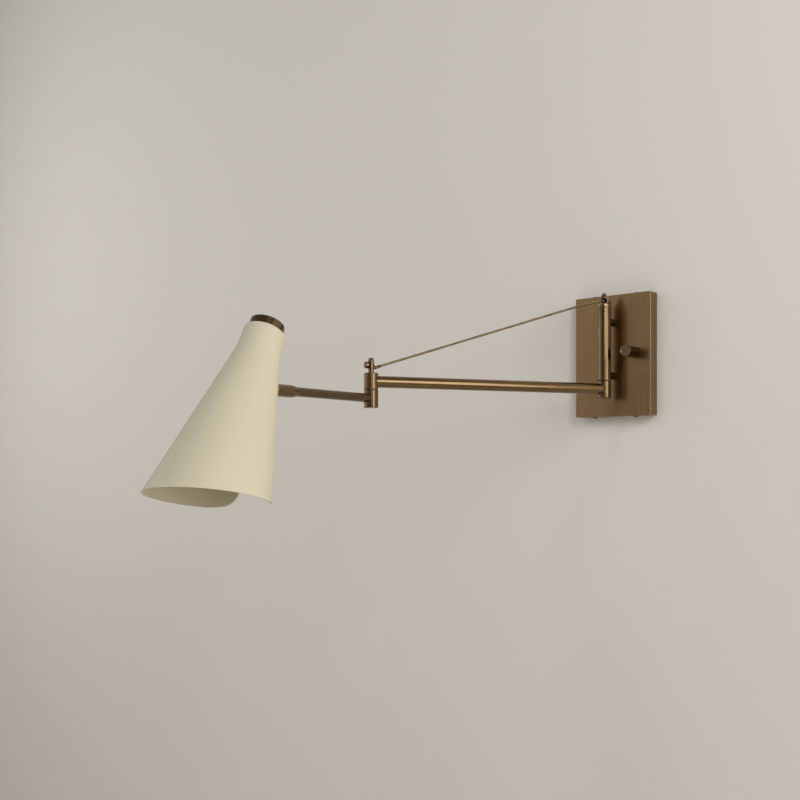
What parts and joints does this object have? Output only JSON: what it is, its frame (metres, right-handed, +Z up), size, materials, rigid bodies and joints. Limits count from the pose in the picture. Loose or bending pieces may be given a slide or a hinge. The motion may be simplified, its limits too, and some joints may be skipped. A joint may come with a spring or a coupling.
{
  "type": "swing arm wall lamp",
  "caption": "Two-arm swing lamp on a rectangular wall plate, with a cable-stayed main arm, a tilting slit cone shade and a round dimmer knob.",
  "frame": {"origin": "middle of the wall plate's face that lies on the wall", "axes": "+X along the plate's width, +Y into the wall, +Z up; the arms reach out towards -Y"},
  "size_m": [0.2682, 0.6739, 0.2825],
  "materials": {
    "brushed_brass": "antique brass, brushed along each piece and lacquered",
    "dark_brass": "darkened brass",
    "rope_brass": "twisted wire rope in antique brass",
    "shade_paint": "cream paint, satin, on thin sheet",
    "bracket_steel": "zinc plated sheet",
    "plated_steel": "plated",
    "ground_green": "green passivated screw",
    "friction_dark": "dark moulded",
    "dimmer_plastic": "black moulded",
    "porcelain": "white glazed",
    "shell_brass": "thin pressed metal",
    "bulb_glass": "frosted white"
  },
  "bodies": {
    "wall": {"mounting_bracket": "bracket_steel", "ground_screw": "ground_green", "backplate": "brushed_brass", "plate_screws": "brushed_brass", "standoffs": "dark_brass", "standoff_nipples": "plated_steel", "lock_washers": "plated_steel", "standoff_nuts": "plated_steel", "post_tube": "brushed_brass", "post_top_bush": "brushed_brass", "post_bottom_bush": "friction_dark", "dimmer_body": "dimmer_plastic", "dimmer_ring_nut": "plated_steel"},
    "knob": {"knob": "brushed_brass", "knob_set_screw": "friction_dark", "dimmer_shaft": "plated_steel"},
    "main_arm": {"post_knuckle": "brushed_brass", "post_bottom_cap": "brushed_brass", "pivot_rod": "plated_steel", "cable_head": "brushed_brass", "head_lock_screw": "brushed_brass", "cable_ball": "dark_brass", "tension_cable": "rope_brass", "main_arm_tube": "brushed_brass", "elbow_upper_knuckle": "brushed_brass", "elbow_pin": "brushed_brass", "cable_clamp_screw": "brushed_brass", "elbow_pin_nut": "plated_steel"},
    "second_arm": {"elbow_lower_knuckle": "brushed_brass", "elbow_bushes": "friction_dark", "elbow_washer": "friction_dark", "elbow_end_cap": "brushed_brass", "second_arm_tube": "brushed_brass", "swivel_stem": "plated_steel", "swivel_nut": "plated_steel"},
    "swivel": {"swivel_ferrule": "brushed_brass", "tilt_tongue": "brushed_brass"},
    "shade": {"tilt_fork": "brushed_brass", "tilt_screw": "plated_steel", "tilt_nut": "plated_steel", "tilt_washers": "friction_dark", "lampholder_cup": "brushed_brass", "lampholder_body": "porcelain", "screw_shell": "shell_brass", "centre_contact": "shell_brass", "lamp_nipple": "plated_steel", "lamp_lock_nuts": "plated_steel", "shade": "shade_paint", "top_cap": "brushed_brass", "bulb_base": "shell_brass", "bulb_glass": "bulb_glass"}
  },
  "joints": [
    {"name": "arm_swing", "type": "hinge", "parent": "wall", "child": "main_arm", "pos_m": [0, -0.041, 0], "axis": [0, 0, 1], "range_deg": [-60.6, 119.3]},
    {"name": "elbow_swing", "type": "hinge", "parent": "main_arm", "child": "second_arm", "pos_m": [-0.16332, -0.33108, -0.06], "axis": [0, 0, 1], "range_deg": [-181, 118.8]},
    {"name": "shade_swivel", "type": "hinge", "parent": "second_arm", "child": "swivel", "pos_m": [-0.16332, -0.33108, -0.0674], "axis": [-0.0316, 0.9995, 0], "range_deg": [-86, 94]},
    {"name": "shade_tilt", "type": "hinge", "parent": "swivel", "child": "shade", "pos_m": [-0.15753, -0.51419, -0.0674], "axis": [-0.9971, -0.0315, -0.0691], "range_deg": [-71, 23]},
    {"name": "knob_turn", "type": "hinge", "parent": "wall", "child": "knob", "pos_m": [0.033, -0.03, 0.0027], "axis": [0, 1, 0], "range_deg": [0, 300]}
  ]
}
